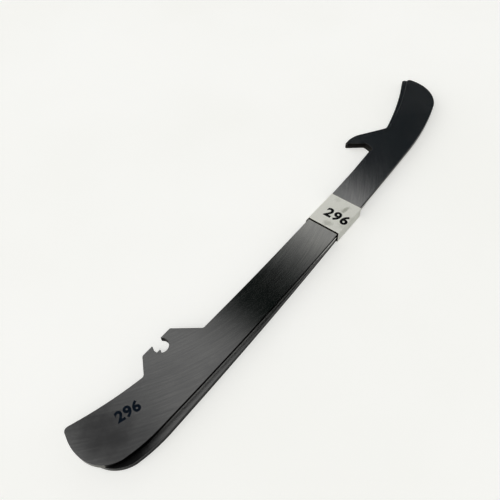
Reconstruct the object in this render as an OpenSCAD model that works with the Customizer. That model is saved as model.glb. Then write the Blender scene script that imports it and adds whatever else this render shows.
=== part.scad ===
// A pair of hockey skate runners, stacked flat and held by one loose paper band.
// Millimetres. The pair lies on z = 0, the heel towards -X, the toe towards +X, the tabs towards +Y.
// The origin is under the middle of the band. A blade's own frame has x = 0 and y = 0 at the apex of its rocker.

/* [Steel] */
// Length of the blade from the heel's end to the toe's nose
blade_l = 296; // [254:1:306]
// Thickness of the plate
steel_t = 3; // [2.5:0.1:4]
// Height of the blade's middle, from the skating edge to the back edge
blade_h = 17.8; // [14:0.1:22]
// Distance of the back edge's lowest point from the rocker's apex, towards the toe
back_shift = 12; // [0:0.5:20]
// Radius of the skating edge's rocker
rocker_r = 2743; // [2000:1:4000]
// Distance of the rocker's apex from the heel's end
heel_reach = 133; // [115:0.5:145]
// Radius of the hollow ground along the skating edge
hollow_r = 12.7; // [8:0.1:26]
// Steel left outside the ground edge, which the grind takes off
grind_stock = 0.06; // [0.04:0.01:0.2]

/* [Heel] */
// Radius that leads from the rocker into the heel
heel_blend_r = 76; // [50:1:110]
// Radius of the heel's lower round
heel_round_r = 15.7; // [10:0.1:20]
// Radius of the heel's end face
heel_end_r = 23.4; // [18:0.1:40]
// Slope at which the lead-in meets the lower round
heel_blend_slope = 14.6; // [8:0.1:22]
// Rise of the heel's top corner above the end face's round
heel_rise = 5; // [2.5:0.1:6]
// Round of the heel's top corner
heel_corner_r = 2.2; // [1:0.1:2.5]
// How far the heel's back edge bows below a straight line
heel_bow = 1.6; // [0.5:0.1:2.5]

/* [Rear tab] */
// Distance of the tab's middle from the heel's end
tab_in = 54.9; // [48:0.1:65]
// Width of the tab's top
tab_w = 17.6; // [14:0.1:22]
// Height of the tab's top above the skating edge
tab_h = 30.9; // [28:0.1:33]
// Slope of the tab's flank on the heel side
tab_heel_slope = 49.5; // [40:0.5:70]
// Slope of the tab's flank on the toe side
tab_toe_slope = 51.8; // [40:0.5:70]
// Height of the back edge at the heel side of the tab
tab_heel_h = 23.4; // [20.5:0.1:24]
// Round of the tab's top corners
tab_corner_r = 1.3; // [0.5:0.1:2]
// Round in the corners at the foot of the tab
tab_foot_r = 1.8; // [0.5:0.1:3]
// Radius of the round notch
notch_r = 3.7; // [3:0.05:4.5]
// Depth of the notch's middle below the tab's top
notch_depth = 2.9; // [2.4:0.05:3.2]
// Width of the notch's mouth
mouth_w = 5.6; // [4.8:0.05:5.9]

/* [Front hook] */
// Distance of the hook's foot from the toe's nose
hook_in = 72.7; // [64:0.1:82]
// Depth of the hook's throat past its foot
throat_in = 1.7; // [0.5:0.1:3]
// Height of the throat's deepest point above the back edge
throat_h = 5.4; // [4:0.1:7]
// Reach of the hook's point from the throat towards the heel
hook_reach = 7.1; // [4:0.1:9]
// Height of the hook's top above the skating edge
hook_h = 33.9; // [31:0.1:37]
// Width of the hook's flat top
hook_top_w = 8.1; // [5:0.1:11]
// Slope of the hook's back
hook_slope = 34; // [28:0.5:42]
// Height of the corner between the hook's back and the toe
hook_foot_h = 20.6; // [19.5:0.1:22.5]
// Round at the hook's point
hook_point_r = 0.8; // [0.4:0.1:1.2]
// Round of the hook's shoulder
hook_shoulder_r = 12; // [6:0.5:14]
// Round in the hook's throat
throat_r = 1.8; // [0.8:0.1:2.4]
// Round in the corner between the hook's back and the toe
hook_foot_r = 3; // [1:0.1:6]

/* [Toe] */
// Radius that leads from the rocker into the toe
toe_blend_r = 185; // [120:1:260]
// Radius of the toe's round nose
nose_r = 23.6; // [20:0.1:28]
// Slope at which the lead-in meets the nose
toe_blend_slope = 15.2; // [10:0.1:20]
// Round of the toe's tip
tip_r = 1.8; // [0.8:0.1:3]
// How far the toe's back edge bows below a straight line
toe_bow = 2.6; // [1:0.1:3.5]

/* [Pair] */
// Angle by which the lower blade is swung out from under the upper one
fan = 1.48; // [0:0.01:2]
// Largest angle between the blades, either way
fan_limit = 1.6; // [1.5:0.1:3]
// How far the lower blade has slipped towards the toe
slip_x = 2.4; // [0:0.1:3]
// How far the lower blade has slipped towards the tabs
slip_y = 0.55; // [0:0.05:1.5]
// Gap between faces that lie on each other
lay_gap = 0.02; // [0.01:0.01:0.1]

/* [Paper band] */
// Distance of the band's middle from the rocker's apex
band_x = 34.3; // [20:0.1:50]
// Width of the band along the blades
band_w = 22; // [12:0.1:30]
// Thickness of the paper
paper_t = 0.15; // [0.1:0.01:0.3]
// Height of the band's top above the steel
band_lift = 0.9; // [0.1:0.05:1.2]
// Room between the steel and the band's sides
band_room = 0.4; // [0.3:0.05:1.5]
// Inner radius of the paper's folds
fold_r = 0.4; // [0.2:0.05:0.5]
// Width of the glued lap under the band
lap_w = 12; // [6:0.1:15]
// Travel of the band along the blades, either way
band_travel = 6; // [4:0.5:20]

/* [Hidden] */

// Largest distance between an arc and its chords
chord_error = 0.01;
// Length by which the wheel runs on past the end of an arc, until it has left the steel
grind_run = 12;
// Slope at which the heel's lower round meets its end face
heel_end_slope = 84.6;
// Slopes at which the heel's end face and the nose run out
heel_out_slope = 110;
nose_out_slope = 95;
// Length that a bowed run leaves straight at its ends for the corner rounds
corner_room = 1.3 * max(tip_r, heel_corner_r, tab_foot_r, hook_foot_r, throat_r);
// Rise of the toe's tip above the nose's round, which its own round takes up
tip_room = 1.33 * tip_r;

// Places along the blade, counted from the rocker's apex
toe_reach = blade_l - heel_reach;
tab_x = heel_reach - tab_in;
hook_x = toe_reach - hook_in;

// Levels of the stack
lower_z = 2 * paper_t + lay_gap;
upper_z = lower_z + steel_t + lay_gap;
stack_top = upper_z + steel_t;
// Middle of the band in the blade's own frame, which becomes the part's origin
band_y = blade_h / 2;

steel = [0.50, 0.51, 0.53];
paper = [0.92, 0.92, 0.89];

// Outward direction on an edge that is followed at heading h
function outward(h) = [sin(h), -cos(h)];
function unit(v) = v / norm(v);

// Lengths of the rocker on both sides of its apex, which leave room for the rounds at the heel and the toe
heel_rounds = (heel_blend_r - heel_round_r) * sin(heel_blend_slope)
    + (heel_round_r - heel_end_r) * sin(heel_end_slope) + heel_end_r;
toe_rounds = (toe_blend_r - nose_r) * sin(toe_blend_slope) + nose_r;
rocker_heel = (heel_reach - heel_rounds) / (1 - heel_blend_r / rocker_r);
rocker_toe = (toe_reach - toe_rounds) / (1 - toe_blend_r / rocker_r);

// Arcs of the skating edge from the heel's end face to the nose, each [centre, radius, first heading, last heading]
heel_leave = -asin(rocker_heel / rocker_r);
toe_leave = asin(rocker_toe / rocker_r);
rocker_c = [0, rocker_r];
heel_blend_c = rocker_c + (rocker_r - heel_blend_r) * outward(heel_leave);
heel_round_c = heel_blend_c + (heel_blend_r - heel_round_r) * outward(-heel_blend_slope);
heel_end_c = heel_round_c + (heel_round_r - heel_end_r) * outward(-heel_end_slope);
toe_blend_c = rocker_c + (rocker_r - toe_blend_r) * outward(toe_leave);
nose_c = toe_blend_c + (toe_blend_r - nose_r) * outward(toe_blend_slope);
edge_arcs = [
    [heel_end_c, heel_end_r, -heel_out_slope, -heel_end_slope],
    [heel_round_c, heel_round_r, -heel_end_slope, -heel_blend_slope],
    [heel_blend_c, heel_blend_r, -heel_blend_slope, heel_leave],
    [rocker_c, rocker_r, heel_leave, toe_leave],
    [toe_blend_c, toe_blend_r, toe_leave, toe_blend_slope],
    [nose_c, nose_r, toe_blend_slope, nose_out_slope]
];

// Arcs that are ground hollow, each with the headings between which the wheel follows it
function turn_over(length, r) = length / r * 180 / PI;
ground_arcs = [
    [heel_blend_c, heel_blend_r, -heel_blend_slope - turn_over(grind_run, heel_blend_r), heel_leave],
    [rocker_c, rocker_r, heel_leave - turn_over(grind_run, rocker_r), toe_leave + turn_over(grind_run, rocker_r)],
    [toe_blend_c, toe_blend_r, toe_leave, toe_blend_slope + turn_over(grind_run, toe_blend_r)]
];

// Number of chords that keep an arc within the chord error
function chords(r, turn) = max(2, ceil(abs(turn) / (2 * acos(1 - chord_error / r))));

// Points inside one arc of the edge, grown outwards by the grinding stock
function arc_points(arc) =
    let (c = arc[0], r = arc[1] + grind_stock, h0 = arc[2], turn = arc[3] - arc[2], n = chords(r, turn))
    [for (i = [0 : n - 1]) c + r * outward(h0 + turn * (i + 0.5) / n)];

function edge_points() = [for (arc = edge_arcs) each arc_points(arc)];

// Points of a round at corner b between a and c
function round_points(a, b, c, r) =
    let (
        u = unit(a - b),
        v = unit(c - b),
        half = acos(u * v) / 2,
        side = sign(u[0] * v[1] - u[1] * v[0]),
        centre = b + unit(u + v) * r / sin(half),
        first = [-u[1], u[0]] * side,
        sweep = (180 - 2 * half) * side,
        n = chords(r, sweep)
    )
    [for (i = [0 : n])
        let (t = sweep * i / n)
        centre - r * [first[0] * cos(t) + first[1] * sin(t), first[1] * cos(t) - first[0] * sin(t)]];

// An open run of corners, each [point, radius], rounded between a start point and an end point
function rounded_run(start, corners, end) =
    let (p = concat([start], [for (c = corners) c[0]], [end]))
    [for (i = [0 : len(corners) - 1]) each round_points(p[i], p[i + 1], p[i + 2], corners[i][1])];

// A closed loop of corners with one radius
function rounded_loop(p, r) =
    [for (i = [0 : len(p) - 1])
        each round_points(p[(i + len(p) - 1) % len(p)], p[i], p[(i + 1) % len(p)], r)];

// Corner between two points, from left to right, that bows a run below their straight line, and its radius
function bow_corner(a, b, bow) =
    let (run = b - a, half = norm(run) / 2, down = unit([run[1], -run[0]]))
    [(a + b) / 2 + down * bow, (norm([half, bow]) - corner_room) * half / bow];

// Back edge, as round as the rocker below it
back_r = rocker_r - blade_h;
back_c = [back_shift, rocker_r];
function back_y(x) = back_c[1] - sqrt(back_r * back_r - (x - back_shift) * (x - back_shift));

// Rear tab, from its toe-side foot to its heel-side foot
tab_right = -tab_x + tab_w / 2;
tab_left = -tab_x - tab_w / 2;
tab_foot_y = back_y(tab_right + (tab_h - blade_h) / tan(tab_toe_slope));
tab_toe_foot = [tab_right + (tab_h - tab_foot_y) / tan(tab_toe_slope), tab_foot_y];
tab_heel_foot = [tab_left - (tab_h - tab_heel_h) / tan(tab_heel_slope), tab_heel_h];
notch_y = tab_h - notch_depth;

// Front hook, from its foot on the back edge round its point to its foot at the toe
hook_foot = [hook_x, back_y(hook_x)];
throat = hook_foot + [throat_in, throat_h];
hook_point = [throat[0] - hook_reach, hook_h];
hook_shoulder = hook_point + [hook_top_w, 0];
hook_toe_foot = hook_shoulder + [(hook_h - hook_foot_h) / tan(hook_slope), hook_foot_h - hook_h];

// Corners where the back edge bends and where the ends of the blade turn over
back_from = asin((tab_toe_foot[0] - back_shift) / back_r);
back_to = asin((hook_foot[0] - back_shift) / back_r);
back_half = (back_to - back_from) / 2;
back_bend = back_c + back_r / cos(back_half) * outward((back_from + back_to) / 2);
back_bend_r = back_r - corner_room / tan(back_half);
nose_end = nose_c + nose_r * outward(nose_out_slope);
tip = nose_end + tip_room * [-tan(nose_out_slope - 90), 1];
heel_end = heel_end_c + heel_end_r * outward(-heel_out_slope);
heel_corner = heel_end + heel_rise * [tan(heel_out_slope - 90), 1];
toe_bend = bow_corner(hook_toe_foot, tip, toe_bow);
heel_bend = bow_corner(heel_corner, tab_heel_foot, heel_bow);

function back_points() = rounded_run(nose_end, [
    [tip, tip_r],
    toe_bend,
    [hook_toe_foot, hook_foot_r],
    [hook_shoulder, hook_shoulder_r],
    [hook_point, hook_point_r],
    [throat, throat_r],
    [hook_foot, throat_r],
    [back_bend, back_bend_r],
    [tab_toe_foot, tab_foot_r],
    [[tab_right, tab_h], tab_corner_r],
    [[tab_left, tab_h], tab_corner_r],
    [tab_heel_foot, tab_foot_r],
    heel_bend,
    [heel_corner, heel_corner_r]
], heel_end);

// The plate before grinding
module plate() {
    linear_extrude(steel_t) polygon(concat(edge_points(), back_points()));
}

// The round notch in the rear tab, open through its mouth
module notch_cut() {
    over = 1;
    translate([-tab_x, notch_y, -over]) {
        cylinder(r = notch_r, h = steel_t + 2 * over, $fn = 96);
        translate([-mouth_w / 2, 0, 0]) cube([mouth_w, notch_depth + over, steel_t + 2 * over]);
    }
}

// The hollow that the wheel grinds along one arc of the skating edge
module hollow_cut(arc) {
    depth = hollow_r - sqrt(hollow_r * hollow_r - steel_t * steel_t / 4);
    translate([arc[0][0], arc[0][1], steel_t / 2])
        rotate([0, 0, arc[2] - 90])
            rotate_extrude(angle = arc[3] - arc[2], $fn = chords(arc[1], 360))
                translate([arc[1] - depth + hollow_r, 0]) circle(r = hollow_r, $fn = 96);
}

// One runner in its own frame, lying on z = 0
module runner() {
    difference() {
        plate();
        notch_cut();
        for (arc = ground_arcs) hollow_cut(arc);
    }
}

module upper_blade() {
    color(steel) translate([-band_x, -band_y, upper_z]) runner();
}

module lower_blade() {
    color(steel) translate([slip_x, slip_y, lower_z]) rotate([0, 0, fan]) translate([-band_x, -band_y, 0]) runner();
}

// Inner outline of the band, in [y, z], clear of both blades wherever the band and the lower blade can be
reach = band_w / 2 + band_travel;
edge_rise = back_y(band_x + reach) - blade_h;
swing = (reach + slip_x) * tan(fan_limit);
skating_side = -band_y - max(0, swing - slip_y) - band_room;
tab_side_top = band_y + edge_rise + band_room;
tab_side_low = band_y + edge_rise + slip_y + swing + band_room;
band_floor = 2 * paper_t;
band_roof = stack_top + band_lift;
band_inner = [
    [skating_side, band_floor],
    [tab_side_low, band_floor],
    [tab_side_low, upper_z],
    [tab_side_top, band_roof],
    [skating_side, band_roof]
];

// The same outline moved outwards by d, edge by edge
function grown(p, d) =
    [for (i = [0 : len(p) - 1])
        let (
            u = unit(p[i] - p[(i + len(p) - 1) % len(p)]),
            v = unit(p[(i + 1) % len(p)] - p[i]),
            nu = [u[1], -u[0]],
            nv = [v[1], -v[0]]
        )
        p[i] + d * (nu + nv) / (1 + nu * nv)];

// The paper band, with its end lapped over its start on the underside and sunk halfway into it
module label_band() {
    color(paper) translate([-band_w / 2, 0, 0]) rotate([90, 0, 90]) {
        linear_extrude(band_w) difference() {
            polygon(rounded_loop(grown(band_inner, paper_t), fold_r + paper_t));
            polygon(rounded_loop(band_inner, fold_r));
        }
        linear_extrude(band_w) translate([-lap_w / 2, 0]) square([lap_w, paper_t + paper_t / 2]);
    }
}

upper_blade();
lower_blade();
label_band();
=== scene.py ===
"""Visual model of a banded pair of hockey skate runners, lying on a pale table top."""

import logging
import math
from dataclasses import dataclass
from enum import Enum
from typing import Any, Iterable

import bmesh
import bpy
from mathutils import Matrix, Vector


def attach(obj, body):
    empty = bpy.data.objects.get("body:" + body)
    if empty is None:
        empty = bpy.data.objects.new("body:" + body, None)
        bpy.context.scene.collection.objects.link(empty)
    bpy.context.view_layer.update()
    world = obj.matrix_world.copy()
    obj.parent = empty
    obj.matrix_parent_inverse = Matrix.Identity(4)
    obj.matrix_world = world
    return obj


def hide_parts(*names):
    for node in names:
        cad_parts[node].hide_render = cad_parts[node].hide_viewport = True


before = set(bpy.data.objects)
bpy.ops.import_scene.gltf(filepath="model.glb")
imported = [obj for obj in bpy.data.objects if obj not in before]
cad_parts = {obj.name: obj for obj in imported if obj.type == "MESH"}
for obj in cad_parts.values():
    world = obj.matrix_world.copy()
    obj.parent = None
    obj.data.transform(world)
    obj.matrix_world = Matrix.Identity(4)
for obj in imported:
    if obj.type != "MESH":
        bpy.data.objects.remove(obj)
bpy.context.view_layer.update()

LOG = logging.getLogger("runners")
MM = 0.001
RELIEF_DEPTH = 0.1 * MM
SIZE_TEXT = "296"

# Map of the runners' faces, whose first axis runs across the runner, and its units per metre.
ACROSS_MAP = "across"
MAP_SCALE = 10.0

# Dark and light colour of the wall round the heel, as shares of its tone.
HEEL_GREYS = ((0.75, 0.73, 0.66), (1.25, 1.21, 1.10))

# Places of a Mix node's colour sockets: the factor, the two colours and the result.
MIX_FACTOR, MIX_FIRST, MIX_SECOND, MIX_RESULT = 0, 6, 7, 2

Colour = tuple[float, float, float]
Point = tuple[float, float, float]
Span = tuple[float, float]
Socket = bpy.types.NodeSocket


@dataclass(frozen=True)
class Traits:
    """What sets one runner of the pair apart from the other.

    Attributes:
        node: CAD node that the runner stands for.
        body: Body that the runner rides.
        seed: Shift of the noise in its finishes.
        turn: Turn out of line, in radians.
        hinge: Point that it is turned about.
        foot: Height of its under face.
        dressing: How bright the foot of the skating edge is dressed, from 0 to 1.
        satin: Least roughness of its faces.
        rim: Grey that tints the skating edge's wall at a glancing angle.
        heel_tone: Grey of the plain wall round the heel.
        patch_spot: Middle of the darker patch near the heel.
        patch_reach: Reach of that patch.
        patch_colour: Colour of that patch.
    """

    node: str
    body: str
    seed: float
    turn: float
    hinge: Point
    foot: float
    dressing: float
    satin: float
    rim: float
    heel_tone: float
    patch_spot: Point
    patch_reach: float
    patch_colour: Colour


class Blade(Enum):
    """The two runners of the pair."""

    UPPER = Traits(
        node="upper_blade",
        body="upper",
        seed=1.7,
        turn=0.0,
        hinge=(0.0, 0.0, 0.0),
        foot=3.34 * MM,
        dressing=1.0,
        satin=0.105,
        rim=0.42,
        heel_tone=0.17,
        patch_spot=(-154.5 * MM, 8.8 * MM, 0.0),
        patch_reach=12.0 * MM,
        patch_colour=(0.30, 0.30, 0.305),
    )
    LOWER = Traits(
        node="lower_blade",
        body="lower",
        seed=5.3,
        turn=math.radians(1.48),
        hinge=(2.4 * MM, 0.55 * MM, 0.0),
        foot=0.32 * MM,
        dressing=0.0,
        satin=0.185,
        rim=0.57,
        # Near-black painted shade on the lower runner's wall round the heel; the upper runner's is
        # lighter.
        heel_tone=0.02,
        patch_spot=(-158.0 * MM, -4.0 * MM, 0.0),
        patch_reach=15.5 * MM,
        # Near-black painted shade on the lower runner's face at the heel, where the upper runner
        # overhangs it.
        patch_colour=(0.02, 0.02, 0.021),
    )


class Surface(Enum):
    """Material slots of a runner, in their order."""

    FACE = 0
    BLANKED = 1
    GROUND = 2
    BROKEN = 3
    HEEL = 4


class Graph:
    """A node tree, with short calls that add nodes and join their sockets."""

    def __init__(self, tree: bpy.types.NodeTree) -> None:
        """Take the tree and empty it."""
        self.tree = tree
        tree.nodes.clear()

    def node(
        self, kind: str, settings: dict[str, Any] | None = None, **inputs: Any
    ) -> bpy.types.Node:
        """Add a node.

        Args:
            kind: Type name without the leading "ShaderNode".
            settings: Values of the node's own properties.
            inputs: Value or output socket for each input, named with _ for a space.

        Returns:
            The new node.
        """
        made = self.tree.nodes.new("ShaderNode" + kind)
        for name, value in (settings or {}).items():
            setattr(made, name, value)
        for name, value in inputs.items():
            self.feed(made.inputs[name.replace("_", " ")], value)
        return made

    def feed(self, socket: Socket, value: Any) -> None:
        """Link an output socket to an input, or set the input's value.

        Args:
            socket: The input.
            value: Output socket, or the value to set.
        """
        if isinstance(value, Socket):
            self.tree.links.new(value, socket)
        else:
            socket.default_value = value

    def operate(self, kind: str, operation: str, terms: Iterable[Any]) -> bpy.types.Node:
        """Add a node of one operation.

        Args:
            kind: "Math" or "VectorMath".
            operation: Name of the operation.
            terms: Values or output sockets, in the order of the node's inputs.

        Returns:
            The new node.
        """
        made = self.node(kind, {"operation": operation})
        for socket, term in zip(made.inputs, terms):
            self.feed(socket, term)
        return made

    def math(self, operation: str, *terms: Any) -> Socket:
        """Return the output of a new Math node."""
        return self.operate("Math", operation, terms).outputs[0]

    def vector_math(self, operation: str, *terms: Any) -> Any:
        """Return the outputs of a new Vector Math node."""
        return self.operate("VectorMath", operation, terms).outputs

    def scaled(self, value: Any, gain: float, offset: Any) -> Socket:
        """Return value * gain + offset."""
        return self.math("MULTIPLY_ADD", value, gain, offset)

    def ramp(self, value: Any, low: Any, high: Any) -> Socket:
        """Add a smooth step from 0 to 1.

        Args:
            value: Value that is stepped.
            low: Where the step starts.
            high: Where the step ends.

        Returns:
            The stepped value.
        """
        smooth = {"interpolation_type": "SMOOTHSTEP"}
        made = self.node("MapRange", smooth, Value=value, From_Min=low, From_Max=high)
        return made.outputs[0]

    def mix(self, factor: Any, first: Any, second: Any) -> Socket:
        """Blend two colours.

        Args:
            factor: Share of the second colour.
            first: First colour.
            second: Second colour.

        Returns:
            The blend.
        """
        made = self.node("Mix", {"data_type": "RGBA"})
        for index, value in ((MIX_FACTOR, factor), (MIX_FIRST, first), (MIX_SECOND, second)):
            self.feed(made.inputs[index], (*value, 1.0) if isinstance(value, tuple) else value)
        return made.outputs[MIX_RESULT]

    def cover(self, below: Any, above: Any, mask: Socket, depth: float) -> Socket:
        """Return a colour that another covers where a mask says, to the given depth."""
        return self.mix(self.math("MULTIPLY", mask, depth), below, above)

    def vector(self, x: Any, y: Any, z: Any) -> Socket:
        """Return a vector made of three values."""
        return self.node("CombineXYZ", X=x, Y=y, Z=z).outputs[0]

    def noise(
        self, vector: Any, scale: Any = 1.0, detail: float = 2.0, roughness: float = 0.5
    ) -> Socket:
        """Return the value of a noise texture."""
        made = self.node("TexNoise", Vector=vector, Scale=scale, Detail=detail, Roughness=roughness)
        return made.outputs[0]

    def lines(self, spot: Socket, seed: float, scale: Point, step: Span, detail: float) -> Socket:
        """Return a mask of drawn-out lines.

        Args:
            spot: Object coordinates.
            seed: Shift of the noise.
            scale: Noise per metre along each axis, least along the lines.
            step: Noise values at which the mask starts and is full.
            detail: Detail of the noise.

        Returns:
            The mask, from 0 to 1.
        """
        place = self.node("Mapping", Vector=spot, Location=(seed, 0.0, 0.0), Scale=scale)
        return self.ramp(self.noise(place.outputs[0], detail=detail), *step)

    def bump(self, height: Socket, strength: float) -> Socket:
        """Return the normal of a fine relief."""
        made = self.node("Bump", Strength=strength, Distance=RELIEF_DEPTH, Height=height)
        return made.outputs[0]

    def group(self, tree: bpy.types.NodeTree, **inputs: Any) -> bpy.types.Node:
        """Place a node group and feed its inputs."""
        return self.node("Group", {"node_tree": tree}, **inputs)

    def finish(self, **inputs: Any) -> None:
        """Close a material with a Principled BSDF.

        Args:
            inputs: Value or output socket for each input, named with _ for a space.
        """
        shader = self.node("BsdfPrincipled", None, **inputs)
        output = self.node("OutputMaterial")
        self.tree.links.new(shader.outputs[0], output.inputs["Surface"])


class Effect:
    """Shader node groups that more than one finish uses, each built once."""

    # Noise per metre of radius and per radian of arc, and shift: fine lines, coarse, scratches.
    ARC_NOISES = ((4400.0, 11.0, 0.0), (1700.0, 9.0, 7.0), (1500.0, 5.0, 13.0))
    FINE_SHARE = 0.5
    LINE_STEP = (0.34, 0.66)
    SCRATCH_STEP = (0.66, 0.74)

    @staticmethod
    def _open(
        name: str, inputs: dict[str, str], outputs: Iterable[str]
    ) -> tuple[Graph, Any, Any]:
        """Start a node group.

        Args:
            name: Name of the group.
            inputs: Socket type by input name.
            outputs: Names of the values that the group puts out.

        Returns:
            The group's graph, its input node's outputs and its output node's inputs.
        """
        tree = bpy.data.node_groups.new(name, "ShaderNodeTree")
        for socket, kind in inputs.items():
            tree.interface.new_socket(socket, in_out="INPUT", socket_type="NodeSocket" + kind)
        for socket in outputs:
            tree.interface.new_socket(socket, in_out="OUTPUT", socket_type="NodeSocketFloat")
        graph = Graph(tree)
        given = tree.nodes.new("NodeGroupInput").outputs
        return graph, given, tree.nodes.new("NodeGroupOutput").inputs

    @classmethod
    def grind_arcs(cls) -> bpy.types.NodeTree:
        """Build the arcs that a rotary grinder leaves round a far centre.

        Returns:
            The node group.
        """
        name = "grind_arcs"
        if name in bpy.data.node_groups:
            return bpy.data.node_groups[name]
        sockets = {"Position": "Vector", "Centre": "Vector", "Seed": "Float"}
        graph, given, put = cls._open(name, sockets, ("Lines", "Scratches"))
        away = graph.vector_math("SUBTRACT", given["Position"], given["Centre"])["Vector"]
        part = graph.node("SeparateXYZ", Vector=away).outputs
        flat = graph.vector(part["X"], part["Y"], 0.0)
        radius = graph.vector_math("LENGTH", flat)["Value"]
        angle = graph.math("ARCTAN2", part["Y"], part["X"])
        values = []
        for pitch, length, shift in cls.ARC_NOISES:
            spot = graph.vector(
                graph.math("MULTIPLY", radius, pitch),
                graph.math("MULTIPLY", angle, length),
                graph.math("ADD", given["Seed"], shift),
            )
            values.append(graph.noise(spot))
        fine, coarse, scratches = values
        lines = graph.math("MULTIPLY", fine, cls.FINE_SHARE)
        lines = graph.scaled(coarse, 1.0 - cls.FINE_SHARE, lines)
        graph.feed(put["Lines"], graph.ramp(lines, *cls.LINE_STEP))
        graph.feed(put["Scratches"], graph.ramp(scratches, *cls.SCRATCH_STEP))
        return graph.tree

    @classmethod
    def smudges(cls) -> bpy.types.NodeTree:
        """Build the soft cloudy marks.

        Returns:
            The node group.
        """
        name = "smudges"
        if name in bpy.data.node_groups:
            return bpy.data.node_groups[name]
        sockets = {"Position": "Vector"}
        sockets |= {socket: "Float" for socket in ("Scale", "Seed", "Low", "High")}
        graph, given, put = cls._open(name, sockets, ("Mask",))
        shift = graph.vector(given["Seed"], 0.0, 0.0)
        spot = graph.vector_math("ADD", given["Position"], shift)["Vector"]
        cloud = graph.noise(spot, given["Scale"], detail=4.0, roughness=0.55)
        graph.feed(put["Mask"], graph.ramp(cloud, given["Low"], given["High"]))
        return graph.tree


@dataclass(frozen=True)
class Smudge:
    """Soft cloudy marks: the noise per metre, and the values at which they start and are full."""

    scale: float
    low: float
    high: float

    def mask(self, graph: Graph, spot: Socket, seed: float) -> Socket:
        """Return the mask of the marks.

        Args:
            graph: Graph of the material.
            spot: Its Object coordinates.
            seed: Shift of the noise.

        Returns:
            The mask, from 0 to 1.
        """
        step = {"Low": self.low, "High": self.high}
        made = graph.group(Effect.smudges(), Position=spot, Scale=self.scale, Seed=seed, **step)
        return made.outputs[0]


def new_material(name: str) -> tuple[bpy.types.Material, Graph, Socket]:
    """Start a procedural material.

    Args:
        name: Name of the material.

    Returns:
        The material, its graph and its Object coordinates.
    """
    material = bpy.data.materials.new(name)
    material.use_nodes = True
    graph = Graph(material.node_tree)
    return material, graph, graph.node("TexCoord").outputs["Object"]


@dataclass(frozen=True)
class GroundFace:
    """Satin face of a runner: the grinder's arcs, cloudy marks and a darker patch near the heel,
    which on the lower runner is painted shade.
    """

    name: str
    traits: Traits
    centre: Point = (-50.0 * MM, 140.0 * MM, 0.0)
    dark: Colour = (0.50, 0.50, 0.505)
    light: Colour = (0.60, 0.60, 0.595)
    clouds: Smudge = Smudge(42.0, 0.42, 0.68)
    stain: Colour = (0.42, 0.425, 0.43)
    stain_depth: float = 0.55
    scratch: Colour = (0.68, 0.68, 0.67)
    scratch_depth: float = 0.35
    patch_depth: float = 0.9
    patch_grain: float = 150.0
    patch_rag: float = 1.1
    patch_fade: Span = (1.30, 0.40)
    toe_satin: float = 0.105
    toe_fade: Span = (60.0 * MM, 20.0 * MM)
    line_rough: float = 0.03
    cloud_rough: float = 0.03
    relief: float = 0.02
    pull: float = 1.0
    glance: Colour = (0.70, 0.70, 0.70)

    def material(self) -> bpy.types.Material:
        """Build the finish.

        Returns:
            The new material.
        """
        made, graph, spot = new_material(self.name)
        seed = self.traits.seed
        grind = Effect.grind_arcs()
        arcs = graph.group(grind, Position=spot, Centre=self.centre, Seed=seed).outputs
        cloud = self.clouds.mask(graph, spot, seed)
        steel = graph.mix(arcs["Lines"], self.dark, self.light)
        steel = graph.cover(steel, self.stain, cloud, self.stain_depth)
        patch = self._patch_mask(graph, spot)
        # The darker patch near the heel; on the lower runner its colour is painted shade.
        steel = graph.cover(steel, self.traits.patch_colour, patch, self.patch_depth)
        steel = graph.cover(steel, self.scratch, arcs["Scratches"], self.scratch_depth)
        along = graph.node("SeparateXYZ", Vector=spot).outputs["X"]
        heelwards = graph.ramp(along, *self.toe_fade)
        rough = graph.scaled(heelwards, self.traits.satin - self.toe_satin, self.toe_satin)
        rough = graph.scaled(arcs["Lines"], self.line_rough, rough)
        rough = graph.scaled(cloud, self.cloud_rough, rough)
        across = graph.node("Tangent", {"direction_type": "UV_MAP", "uv_map": ACROSS_MAP})
        graph.finish(
            Base_Color=steel,
            Metallic=1.0,
            Roughness=rough,
            Normal=graph.bump(arcs["Lines"], self.relief),
            Anisotropic=self.pull,
            Tangent=across.outputs[0],
            Specular_Tint=(*self.glance, 1.0),
        )
        return made

    def _patch_mask(self, graph: Graph, spot: Socket) -> Socket:
        """Mask the darker patch near the heel, with a ragged border.

        Args:
            graph: Graph of the material.
            spot: Its Object coordinates.

        Returns:
            The mask, from 0 to 1.
        """
        away = graph.vector_math("DISTANCE", spot, self.traits.patch_spot)["Value"]
        grain = graph.noise(spot, self.patch_grain, detail=4.0, roughness=0.6)
        ragged = graph.scaled(grain, -self.patch_rag, self.patch_rag / 2)
        reach = graph.scaled(away, 1.0 / self.traits.patch_reach, ragged)
        return graph.ramp(reach, *self.patch_fade)


@dataclass(frozen=True)
class BrokenEdge:
    """Narrow edge break, dull from tumbling and a little nicked."""

    name: str
    seed: float
    dark: Colour = (0.03, 0.03, 0.03)
    light: Colour = (0.09, 0.09, 0.088)
    nicks: Smudge = Smudge(420.0, 0.40, 0.70)
    rough: float = 0.38
    nick_rough: float = 0.15
    rim: Colour = (0.6, 0.6, 0.6)

    def material(self) -> bpy.types.Material:
        """Build the finish.

        Returns:
            The new material.
        """
        made, graph, spot = new_material(self.name)
        nicks = self.nicks.mask(graph, spot, self.seed)
        graph.finish(
            Base_Color=graph.mix(nicks, self.light, self.dark),
            Metallic=1.0,
            Roughness=graph.scaled(nicks, self.nick_rough, self.rough),
            Specular_Tint=(*self.rim, 1.0),
        )
        return made


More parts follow.
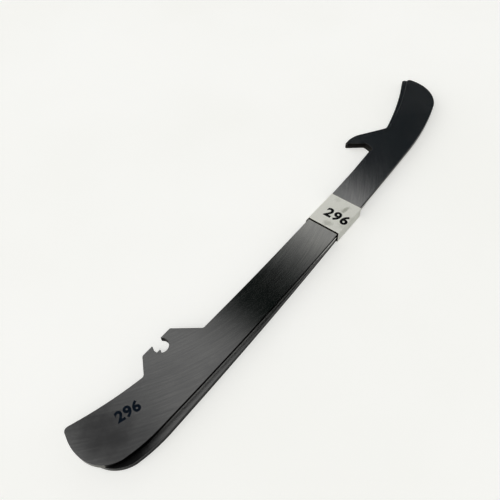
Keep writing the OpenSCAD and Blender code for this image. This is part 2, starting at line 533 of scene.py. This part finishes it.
@dataclass(frozen=True)
class BlankedWall:
    """Dark, dull wall that the punch leaves, with die lines and a few rust specks; its near-black
    colour is partly the wall's own dark tone and partly painted shade.
    """

    name: str
    seed: float
    # Near black: partly the punched wall's own dark tone, partly painted shade.
    dark: Colour = (0.003, 0.0028, 0.0025)
    light: Colour = (0.008, 0.0075, 0.0065)
    line_scale: Point = (2600.0, 2600.0, 90.0)
    line_step: Span = (0.35, 0.68)
    specks: Smudge = Smudge(1300.0, 0.64, 0.72)
    rust: Colour = (0.16, 0.12, 0.04)
    rust_depth: float = 0.8
    rough: float = 0.58
    line_rough: float = -0.12
    relief: float = 0.25
    metal: float = 0.4
    shine: float = 0.06

    def material(self) -> bpy.types.Material:
        """Build the finish.

        Returns:
            The new material.
        """
        made, graph, spot = new_material(self.name)
        lines = graph.lines(spot, self.seed, self.line_scale, self.line_step, detail=2.0)
        specks = self.specks.mask(graph, spot, self.seed)
        wall = graph.mix(lines, self.dark, self.light)
        graph.finish(
            Base_Color=graph.cover(wall, self.rust, specks, self.rust_depth),
            Metallic=self.metal,
            Roughness=graph.scaled(lines, self.line_rough, self.rough),
            Normal=graph.bump(lines, self.relief),
            Specular_IOR_Level=self.shine,
        )
        return made


@dataclass(frozen=True)
class HollowGrind:
    """Hollow of the skating edge, dressed lengthwise by the stone, brighter along its foot; its
    near-black steel is partly its own dark tone and partly painted shade.
    """

    name: str
    seed: float
    foot: float
    bright: float
    # Near-black steel: partly the ground wall's own dark tone, partly painted shade where the floor
    # it mirrors lies in shadow.
    dark: Colour = (0.010, 0.010, 0.0105)
    light: Colour = (0.035, 0.035, 0.035)
    line_scale: Point = (60.0, 60.0, 5200.0)
    line_step: Span = (0.34, 0.66)
    dressed: Colour = (0.86, 0.86, 0.84)
    foot_fade: Span = (1.0 * MM, 0.5 * MM)
    run_in: Span = (-146.0 * MM, -128.0 * MM)
    rough: float = 0.13
    line_rough: float = 0.06
    relief: float = 0.12
    rim: float = 0.55

    def material(self) -> bpy.types.Material:
        """Build the finish.

        Returns:
            The new material.
        """
        made, graph, spot = new_material(self.name)
        lines = graph.lines(spot, self.seed, self.line_scale, self.line_step, detail=3.0)
        steel = graph.mix(lines, self.dark, self.light)
        at = graph.node("SeparateXYZ", Vector=spot).outputs
        foot = graph.ramp(at["Z"], *(self.foot + rise for rise in self.foot_fade))
        share = graph.math("MULTIPLY", foot, graph.ramp(at["X"], *self.run_in))
        graph.finish(
            Base_Color=graph.cover(steel, self.dressed, share, self.bright),
            Metallic=1.0,
            Roughness=graph.scaled(lines, self.line_rough, self.rough),
            Normal=graph.bump(lines, self.relief),
            Specular_Tint=(self.rim, self.rim, self.rim, 1.0),
        )
        return made


@dataclass(frozen=True)
class RubMark:
    """Olive rub mark on the band: its place, half sizes, turn in degrees and depth from 0 to 1."""

    place: Span
    reach: Span
    turn: float
    depth: float
    grain: float = 700.0
    rag: float = 1.2
    fade: Span = (1.2, 0.3)

    def mask(self, graph: Graph, spot: Socket) -> Socket:
        """Return the mark's mask, with a ragged border.

        Args:
            graph: Graph of the material.
            spot: Its Object coordinates.

        Returns:
            The mask, from 0 to 1.
        """
        near = graph.node(
            "Mapping",
            {"vector_type": "TEXTURE"},
            Vector=spot,
            Location=(*self.place, 0.0),
            Rotation=(0.0, 0.0, math.radians(self.turn)),
            Scale=(*self.reach, 1.0),
        )
        away = graph.vector_math("LENGTH", near.outputs[0])["Value"]
        grain = graph.noise(spot, self.grain, detail=3.0, roughness=0.6)
        ragged = graph.scaled(grain, -self.rag, self.rag / 2)
        return graph.ramp(graph.math("ADD", away, ragged), *self.fade)


@dataclass(frozen=True)
class BandPaper:
    """Matt off-white paper, a little handled; a dark copy of it is painted shade on the band's
    inside.
    """

    name: str
    sheet: Colour = (0.90, 0.90, 0.835)
    fibre: Colour = (0.83, 0.83, 0.765)
    grime_and_shade: Colour = (0.56, 0.56, 0.50)
    swipe: Colour = (0.38, 0.385, 0.32)
    rubs: tuple[RubMark, ...] = (
        RubMark((4.9 * MM, -3.3 * MM), (3.4 * MM, 1.2 * MM), -9.0, 0.80),
        RubMark((-8.6 * MM, -1.0 * MM), (2.2 * MM, 3.0 * MM), 20.0, 0.50),
    )
    fibre_scale: float = 2600.0
    fibre_step: Span = (0.35, 0.7)
    clouds: Smudge = Smudge(190.0, 0.50, 0.72)
    cloud_seed: float = 0.27
    grime_and_shade_depth: float = 0.45
    rough: float = 0.62
    fibre_rough: float = 0.10
    relief: float = 0.15

    def material(self) -> bpy.types.Material:
        """Build the finish.

        Returns:
            The new material.
        """
        made, graph, spot = new_material(self.name)
        fibres = graph.noise(spot, self.fibre_scale, detail=3.0, roughness=0.6)
        fibres = graph.ramp(fibres, *self.fibre_step)
        cloud = self.clouds.mask(graph, spot, self.cloud_seed)
        paper = graph.mix(fibres, self.sheet, self.fibre)
        paper = graph.cover(paper, self.grime_and_shade, cloud, self.grime_and_shade_depth)
        for rub in self.rubs:
            paper = graph.cover(paper, self.swipe, rub.mask(graph, spot), rub.depth)
        graph.finish(
            Base_Color=paper,
            Roughness=graph.scaled(fibres, self.fibre_rough, self.rough),
            Normal=graph.bump(fibres, self.relief),
        )
        return made


@dataclass(frozen=True)
class MarkInk:
    """Printed ink, a little thin in places."""

    name: str
    solid: Colour
    thin: Colour
    clouds: Smudge = Smudge(620.0, 0.48, 0.72)
    cloud_seed: float = 0.51
    rough: float = 0.45
    thin_rough: float = 0.12
    shine: float = 0.08

    def material(self) -> bpy.types.Material:
        """Build the finish.

        Returns:
            The new material.
        """
        made, graph, spot = new_material(self.name)
        cloud = self.clouds.mask(graph, spot, self.cloud_seed)
        graph.finish(
            Base_Color=graph.mix(cloud, self.solid, self.thin),
            Roughness=graph.scaled(cloud, self.thin_rough, self.rough),
            Specular_IOR_Level=self.shine,
        )
        return made


@dataclass(frozen=True)
class TableTop:
    """Plain pale table top, lifted towards white where it is looked at or mirrored."""

    name: str = "table_top"
    clean: Colour = (0.66, 0.66, 0.645)
    cloudy: Colour = (0.645, 0.645, 0.625)
    clouds: Smudge = Smudge(7.0, 0.35, 0.7)
    cloud_seed: float = 0.13
    rough: float = 0.8
    shine: float = 0.1
    lift: float = 0.76

    def material(self) -> bpy.types.Material:
        """Build the finish.

        Returns:
            The new material.
        """
        made, graph, spot = new_material(self.name)
        cloud = self.clouds.mask(graph, spot, self.cloud_seed)
        top = graph.mix(cloud, self.clean, self.cloudy)
        rays = graph.node("LightPath").outputs
        mirrored = graph.math("MAXIMUM", rays["Is Glossy Ray"], rays["Is Transmission Ray"])
        seen = graph.math("MAXIMUM", rays["Is Camera Ray"], mirrored)
        graph.finish(
            Base_Color=top,
            Roughness=self.rough,
            Specular_IOR_Level=self.shine,
            Emission_Color=top,
            Emission_Strength=graph.math("MULTIPLY", seen, self.lift),
        )
        return made


def new_piece(name: str, shape: bmesh.types.BMesh, body: str) -> bpy.types.Object:
    """Make a finished mesh into a piece that rides a body.

    Args:
        name: Name of the piece.
        shape: Its mesh, in metres in the frame of the row.
        body: Name of the body that carries it.

    Returns:
        The new object.
    """
    mesh = bpy.data.meshes.new(name)
    shape.to_mesh(mesh)
    shape.free()
    piece = bpy.data.objects.new(name, mesh)
    bpy.context.scene.collection.objects.link(piece)
    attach(piece, body)
    return piece


@dataclass
class Runner:
    """One steel runner: the CAD plate with its edges broken and its surfaces finished.

    The facings are parts of a face's normal: across the plate, towards the heel and towards the
    skating edge. The slopes tell the edge breaks and the flat faces by the normal's rise.
    """

    blade: Blade
    merge: float = 0.001 * MM
    flat_angle: float = math.radians(0.02)
    edge_break: float = 0.14 * MM
    smooth_angle: float = math.radians(32.0)
    face_facing: float = 0.5
    heel_facing: float = -0.252
    heel_start: float = -163.3 * MM
    edge_facing: float = -0.4
    ground_top: float = 1.5 * MM
    break_slopes: Span = (0.2, 0.98)
    flat_slope: float = 0.999

    def build(self) -> bpy.types.Object:
        """Build and dress the runner.

        Returns:
            The piece that stands for the CAD node.
        """
        traits = self.blade.value
        shape = bmesh.new()
        shape.from_mesh(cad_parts[traits.node].data)
        bmesh.ops.remove_doubles(shape, verts=shape.verts, dist=self.merge)
        bmesh.ops.dissolve_limit(
            shape, angle_limit=self.flat_angle, verts=shape.verts, edges=shape.edges
        )
        self._sort_surfaces(shape)
        outline = [edge for edge in shape.edges if self._is_blanked_edge(edge)]
        bmesh.ops.bevel(
            shape, geom=outline, offset=self.edge_break, offset_type="OFFSET", affect="EDGES",
            segments=2, profile=0.5, material=-1, clamp_overlap=False,
        )
        self._shade(shape)
        self._lay_out(shape)
        piece = new_piece("runner_" + traits.body, shape, traits.body)
        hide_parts(traits.node)
        for material in self._materials():
            piece.data.materials.append(material)
        return piece

    def _materials(self) -> list[bpy.types.Material]:
        """Build the runner's finishes.

        Returns:
            The materials, in the order of the slots.
        """
        traits = self.blade.value
        body, seed, foot = traits.body, traits.seed, traits.foot
        tones = (tuple(traits.heel_tone * part for part in grey) for grey in HEEL_GREYS)
        finishes = (
            GroundFace("ground_face_" + body, traits),
            BlankedWall("blanked_wall_" + body, seed),
            HollowGrind("hollow_grind_" + body, seed, foot, traits.dressing, rim=traits.rim),
            BrokenEdge("broken_edge_" + body, seed),
            # Wall round the heel; on the lower runner its near-black grey is painted shade.
            HollowGrind("heel_round_" + body, seed, foot, 0.0, *tones),
        )
        return [finish.material() for finish in finishes]

    def _sort_surfaces(self, shape: bmesh.types.BMesh) -> None:
        """Give each face of the plate the slot of its surface.

        Args:
            shape: Mesh of the plate.
        """
        back = Matrix.Rotation(-self.blade.value.turn, 3, "Z")
        hinge = Vector(self.blade.value.hinge)
        for face in shape.faces:
            normal = back @ face.normal
            place = back @ (face.calc_center_median() - hinge)
            if abs(normal.z) > self.face_facing:
                surface = Surface.FACE
            elif normal.x < self.heel_facing and place.x < self.heel_start:
                surface = Surface.HEEL
            elif normal.y < self.edge_facing and place.y < self.ground_top:
                surface = Surface.GROUND
            else:
                surface = Surface.BLANKED
            face.material_index = surface.value

    @staticmethod
    def _is_blanked_edge(edge: bmesh.types.BMEdge) -> bool:
        """Tell whether an edge lies between a face and a punched wall."""
        kinds = sorted(face.material_index for face in edge.link_faces)
        return kinds == [Surface.FACE.value, Surface.BLANKED.value]

    def _shade(self, shape: bmesh.types.BMesh) -> None:
        """Give the edge breaks their slot, smooth the walls and keep the flat faces flat.

        Args:
            shape: Mesh of the plate.
        """
        low, high = self.break_slopes
        for face in shape.faces:
            face.smooth = True
            if low < abs(face.normal.z) < high:
                face.material_index = Surface.BROKEN.value
        for edge in shape.edges:
            flat = any(abs(face.normal.z) > self.flat_slope for face in edge.link_faces)
            edge.smooth = not flat and edge.calc_face_angle(0.0) < self.smooth_angle

    @staticmethod
    def _lay_out(shape: bmesh.types.BMesh) -> None:
        """Give the faces the map whose first axis runs across the runner.

        Args:
            shape: Mesh of the plate.
        """
        layer = shape.loops.layers.uv.new(ACROSS_MAP)
        for face in shape.faces:
            for loop in face.loops:
                loop[layer].uv = (loop.vert.co.y * MAP_SCALE, loop.vert.co.x * MAP_SCALE)


@dataclass(frozen=True)
class Mark:
    """A printed number, as a thin film of ink; its turn is in degrees, its merge in heights."""

    text: str
    size: float
    centre: Span
    turn: float
    bold: float
    spacing: float = 1.1
    film: float = 0.01 * MM
    rounding: int = 6
    merge: float = 1e-5

    def shape(self) -> bmesh.types.BMesh:
        """Build the number on the plane z = 0.

        Returns:
            The mesh of its film, closed on all sides.
        """
        letters = bpy.data.curves.new("mark", "FONT")
        letters.body = self.text
        letters.size = 1.0
        letters.align_x = "CENTER"
        letters.align_y = "CENTER"
        letters.offset = self.bold / self.size
        letters.space_character = self.spacing
        letters.extrude = self.film / self.size / 2
        letters.resolution_u = self.rounding
        holder = bpy.data.objects.new("mark", letters)
        bpy.context.scene.collection.objects.link(holder)
        bpy.context.view_layer.update()
        solid = holder.evaluated_get(bpy.context.evaluated_depsgraph_get())
        mesh = bpy.data.meshes.new_from_object(solid)
        shape = bmesh.new()
        shape.from_mesh(mesh)
        bpy.data.objects.remove(holder)
        bpy.data.curves.remove(letters)
        bpy.data.meshes.remove(mesh)
        bmesh.ops.remove_doubles(shape, verts=shape.verts, dist=self.merge)
        turn = Matrix.Rotation(math.radians(self.turn), 4, "Z")
        place = Matrix.Translation((*self.centre, self.film / 2))
        matrix = place @ turn @ Matrix.Scale(self.size, 4)
        bmesh.ops.transform(shape, matrix=matrix, verts=shape.verts)
        return shape


@dataclass
class PaperBand:
    """Paper strip wrapped loosely round both runners, lapped on the underside, with a size on it.

    The sides, the knee and the roof are the room inside. The drop and the sag are what the roof
    loses at the toe side and at the heel side.
    """

    width: float = 22.0 * MM
    paper: float = 0.15 * MM
    wall_share: float = 0.96
    skating_side: float = -9.3 * MM
    tab_side_low: float = 10.675 * MM
    tab_side_top: float = 8.9 * MM
    knee: float = 3.34 * MM
    roof: float = 7.24 * MM
    fold: float = 0.45 * MM
    lap: float = 6.0 * MM
    lap_step: Span = (1.6 * MM, 0.8 * MM)
    drop: float = 0.65 * MM
    sag: float = 0.15 * MM
    cuts: int = 13
    smooth_angle: float = math.radians(40.0)
    inward: float = -0.1 * MM
    outside: BandPaper = BandPaper("band_paper")
    # The inside is painted shade: dark copies of the paper's colours, so the gap under the band's
    # edge reads dark.
    inside: BandPaper = BandPaper(
        "band_inside_painted_shade", (0.13, 0.125, 0.10), (0.10, 0.095, 0.08), (0.07, 0.07, 0.06)
    )
    number: Mark = Mark(SIZE_TEXT, 8.5 * MM, (-2.0 * MM, -2.4 * MM), -90.0, 0.34 * MM, 1.12)
    ink: MarkInk = MarkInk("band_ink", (0.003, 0.003, 0.004), (0.012, 0.012, 0.013))
    ink_share: float = 0.98

    def build(self) -> list[bpy.types.Object]:
        """Build and dress the band and its number.

        Returns:
            The band and the printed number.
        """
        shape = self._wrap()
        middle = Vector((0.0, 0.0, self.roof / 2))
        for face in shape.faces:
            face.smooth = True
            away = face.calc_center_median() - middle
            outwards = face.normal.y * away.y + face.normal.z * away.z
            # Faces turned inwards take the inside, which is painted shade.
            face.material_index = int(outwards < self.inward)
        for edge in shape.edges:
            edge.smooth = edge.calc_face_angle(0.0) < self.smooth_angle
        band = new_piece("paper_band", shape, "band")
        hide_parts("label_band")
        for finish in (self.outside, self.inside):
            band.data.materials.append(finish.material())
        return [band, self._print()]

    def _wrap(self) -> bmesh.types.BMesh:
        """Draw the strip along its path, round its folds and give the paper its wall.

        Returns:
            The mesh of the band.
        """
        skin = self.paper
        step_start, step_end = self.lap_step
        path = [
            (self.lap, skin),
            (self.skating_side - skin, skin),
            (self.skating_side - skin, self.roof + skin),
            (self.tab_side_top + skin, self.roof + skin),
            (self.tab_side_low + skin, self.knee),
            (self.tab_side_low + skin, skin),
            (self.lap + step_start, skin),
            (self.lap + step_end, 0.0),
            (-self.lap, 0.0),
        ]
        shape = bmesh.new()
        rail = [shape.verts.new((-self.width / 2, y, z)) for y, z in path]
        edges = [shape.edges.new(pair) for pair in zip(rail, rail[1:])]
        drawn = bmesh.ops.extrude_edge_only(shape, edges=edges)["geom"]
        far = [item for item in drawn if isinstance(item, bmesh.types.BMVert)]
        bmesh.ops.translate(shape, verts=far, vec=(self.width, 0.0, 0.0))
        folds = [edge for edge in shape.edges if len(edge.link_faces) == 2]
        bmesh.ops.bevel(
            shape, geom=folds, offset=self.fold, offset_type="OFFSET", affect="EDGES",
            segments=4, profile=0.5, material=-1, clamp_overlap=True,
        )
        along = [edge for edge in shape.edges if self._runs_along(edge)]
        bmesh.ops.subdivide_edges(shape, edges=along, cuts=self.cuts, use_grid_fill=True)
        for vert in shape.verts:
            vert.co.z *= self._squeeze(vert.co.x)
        bmesh.ops.recalc_face_normals(shape, faces=shape.faces)
        bmesh.ops.solidify(shape, geom=shape.faces[:], thickness=self.paper * self.wall_share)
        return shape

    def _runs_along(self, edge: bmesh.types.BMEdge) -> bool:
        """Tell whether an edge runs along the runners, from side to side of the strip."""
        first, second = edge.verts
        return abs(first.co.x - second.co.x) > self.width / 2

    def _squeeze(self, x: float) -> float:
        """Work out how far the roof comes down: least at the heel side, most at the toe side.

        Args:
            x: Place along the runners.

        Returns:
            The ratio of heights.
        """
        share = x / self.width + 0.5
        low = self.sag + (self.drop - self.sag) * share * share * (3.0 - 2.0 * share)
        return 1.0 - low / self.roof

    def _print(self) -> bpy.types.Object:
        """Print the size across the top of the band.

        Returns:
            The printed number.
        """
        shape = self.number.shape()
        for vert in shape.verts:
            vert.co.z += (self.roof + self.paper * self.ink_share) * self._squeeze(vert.co.x)
        piece = new_piece("band_number", shape, "band")
        piece.data.materials.append(self.ink.material())
        return piece


@dataclass
class HeelMark:
    """The runner's length, printed in blue near its heel."""

    number: Mark = Mark(SIZE_TEXT, 6.8 * MM, (-142.6 * MM, 8.4 * MM), -17.0, 0.28 * MM)
    ink: MarkInk = MarkInk("heel_ink", (0.001, 0.005, 0.012), (0.004, 0.011, 0.022))
    face: float = 6.34 * MM

    def build(self) -> bpy.types.Object:
        """Build and dress the number on the upper runner.

        Returns:
            The printed number.
        """
        shape = self.number.shape()
        bmesh.ops.translate(shape, verts=shape.verts, vec=(0.0, 0.0, self.face))
        piece = new_piece("heel_number", shape, Blade.UPPER.value.body)
        piece.data.materials.append(self.ink.material())
        return piece


@dataclass(frozen=True)
class PhotoCamera:
    """Camera at the viewing angle of the photograph, for a square frame; angles in degrees."""

    focal_px: float = 529.509
    frame_px: float = 500.0
    sensor: float = 36.0
    near: float = 10.0 * MM
    yaw: float = 48.277
    pitch: float = 52.036
    roll: float = -3.972
    place: Point = (-169.368 * MM, -89.078 * MM, 217.868 * MM)

    def build(self) -> None:
        """Build the camera and make it the scene's own."""
        yaw, pitch, roll = (math.radians(angle) for angle in (self.yaw, self.pitch, self.roll))
        level = math.cos(pitch)
        ahead = Vector((math.sin(yaw) * level, math.cos(yaw) * level, -math.sin(pitch)))
        right = Vector((math.cos(yaw), -math.sin(yaw), 0.0))
        down = ahead.cross(right)
        across = math.cos(roll) * right - math.sin(roll) * down
        below = math.sin(roll) * right + math.cos(roll) * down
        lens = bpy.data.cameras.new("photo_camera")
        lens.sensor_width = self.sensor
        lens.lens = self.focal_px / self.frame_px * self.sensor
        lens.clip_start = self.near
        camera = bpy.data.objects.new("photo_camera", lens)
        turn = Matrix((across, -below, -ahead)).transposed().to_4x4()
        camera.matrix_world = Matrix.Translation(self.place) @ turn
        bpy.context.scene.collection.objects.link(camera)
        bpy.context.scene.camera = camera


@dataclass(frozen=True)
class Studio:
    """Pale table, a room of broad soft bands overhead, and one soft lamp.

    A slant is a direction's run along X, and a side its run along Y, over its rise. The bands lie
    across the slants. The room glows past the bands' ends and on the tab side, is shaded on the
    skating side and pale at the horizon.
    """

    table_size: float = 4.0
    horizon: Colour = (0.82, 0.82, 0.80)
    horizon_rise: Span = (0.10, 0.32)
    least_rise: float = 0.05
    glow: Colour = (1.00, 1.00, 0.98)
    heel_glow: Span = (-0.20, -0.45)
    toe_glow: Span = (1.70, 2.10)
    tab_glow: Span = (1.10, 1.50)
    shade: Colour = (0.50, 0.50, 0.485)
    skating_shade: Span = (-0.80, -1.10)
    bands: tuple[tuple[float, Colour], ...] = (
        (-0.25, (0.80, 0.80, 0.78)),
        (-0.05, (0.28, 0.28, 0.275)),
        (0.05, (0.09, 0.09, 0.09)),
        (0.12, (0.12, 0.12, 0.12)),
        (0.20, (0.20, 0.20, 0.197)),
        (0.32, (0.23, 0.23, 0.226)),
        (0.385, (0.15, 0.15, 0.148)),
        (0.425, (0.048, 0.051, 0.049)),
        (0.455, (0.004, 0.007, 0.006)),
        (0.535, (0.001, 0.003, 0.002)),
        (0.58, (0.012, 0.015, 0.014)),
        (0.64, (0.115, 0.117, 0.113)),
        (0.71, (0.36, 0.36, 0.34)),
        (0.78, (0.48, 0.48, 0.46)),
        (0.85, (0.36, 0.36, 0.355)),
        (0.90, (0.22, 0.22, 0.22)),
        (0.94, (0.06, 0.064, 0.066)),
        (0.98, (0.018, 0.022, 0.025)),
        (1.3, (0.012, 0.016, 0.019)),
        (2.0, (0.05, 0.05, 0.05)),
    )
    lamp_place: Point = (-2.50, 1.00, 2.50)
    lamp_size: float = 4.00
    lamp_power: float = 20.0

    def build(self) -> None:
        """Build the table, the world and the lamp."""
        shape = bmesh.new()
        bmesh.ops.create_grid(shape, x_segments=1, y_segments=1, size=self.table_size)
        mesh = bpy.data.meshes.new("table")
        shape.to_mesh(mesh)
        shape.free()
        table = bpy.data.objects.new("table", mesh)
        bpy.context.scene.collection.objects.link(table)
        mesh.materials.append(TableTop().material())
        self._world()
        self._lamp()

    def _world(self) -> None:
        """Build the world: the bands, the glow round them, the shaded side and the horizon."""
        world = bpy.data.worlds.new("room")
        world.use_nodes = True
        graph = Graph(world.node_tree)
        way = graph.node("TexCoord").outputs["Generated"]
        part = graph.node("SeparateXYZ", Vector=way).outputs
        rise = graph.math("MAXIMUM", part["Z"], self.least_rise)
        slant = graph.math("DIVIDE", part["X"], rise)
        side = graph.math("DIVIDE", part["Y"], rise)
        heel, toe = graph.ramp(slant, *self.heel_glow), graph.ramp(slant, *self.toe_glow)
        open_sky = graph.math("MAXIMUM", heel, toe)
        open_sky = graph.math("MAXIMUM", open_sky, graph.ramp(side, *self.tab_glow))
        sky = graph.mix(open_sky, self._bands(graph, slant), self.glow)
        sky = graph.mix(graph.ramp(side, *self.skating_shade), sky, self.shade)
        sky = graph.mix(graph.ramp(part["Z"], *self.horizon_rise), self.horizon, sky)
        light = graph.node("Background", None, Color=sky, Strength=1.0)
        graph.tree.links.new(light.outputs[0], graph.node("OutputWorld").inputs["Surface"])
        bpy.context.scene.world = world

    def _bands(self, graph: Graph, slant: Socket) -> Socket:
        """Lay the bands across the slants.

        Args:
            graph: Graph of the world.
            slant: Slant of the direction.

        Returns:
            The colour of the bands at that slant.
        """
        low, high = self.bands[0][0], self.bands[-1][0]
        share = graph.scaled(slant, 1.0 / (high - low), -low / (high - low))
        ramp = graph.node("ValToRGB", None, Fac=share)
        stops = ramp.color_ramp.elements
        while len(stops) < len(self.bands):
            stops.new(0.5)
        for stop, (at, colour) in zip(stops, self.bands):
            stop.position = (at - low) / (high - low)
            stop.color = (*colour, 1.0)
        return ramp.outputs[0]

    def _lamp(self) -> None:
        """Build the soft lamp past the heel, towards the tab side, aimed at the middle."""
        lamp = bpy.data.lights.new("soft_lamp", "AREA")
        lamp.shape = "SQUARE"
        lamp.size = self.lamp_size
        lamp.energy = self.lamp_power
        holder = bpy.data.objects.new("soft_lamp", lamp)
        away = Vector(self.lamp_place)
        turn = away.to_track_quat("Z", "Y").to_matrix().to_4x4()
        holder.matrix_world = Matrix.Translation(away) @ turn
        bpy.context.scene.collection.objects.link(holder)


def main() -> None:
    """Build the runners, the band, the marks and the studio, in order."""
    logging.basicConfig(level=logging.INFO, format="%(message)s")
    bpy.context.scene.view_settings.view_transform = "Standard"
    pieces = [Runner(blade).build() for blade in Blade]
    pieces += PaperBand().build()
    pieces.append(HeelMark().build())
    for piece in pieces:
        LOG.info("%s: %d faces", piece.name, len(piece.data.polygons))
    Studio().build()
    PhotoCamera().build()


if __name__ == "__main__":
    main()
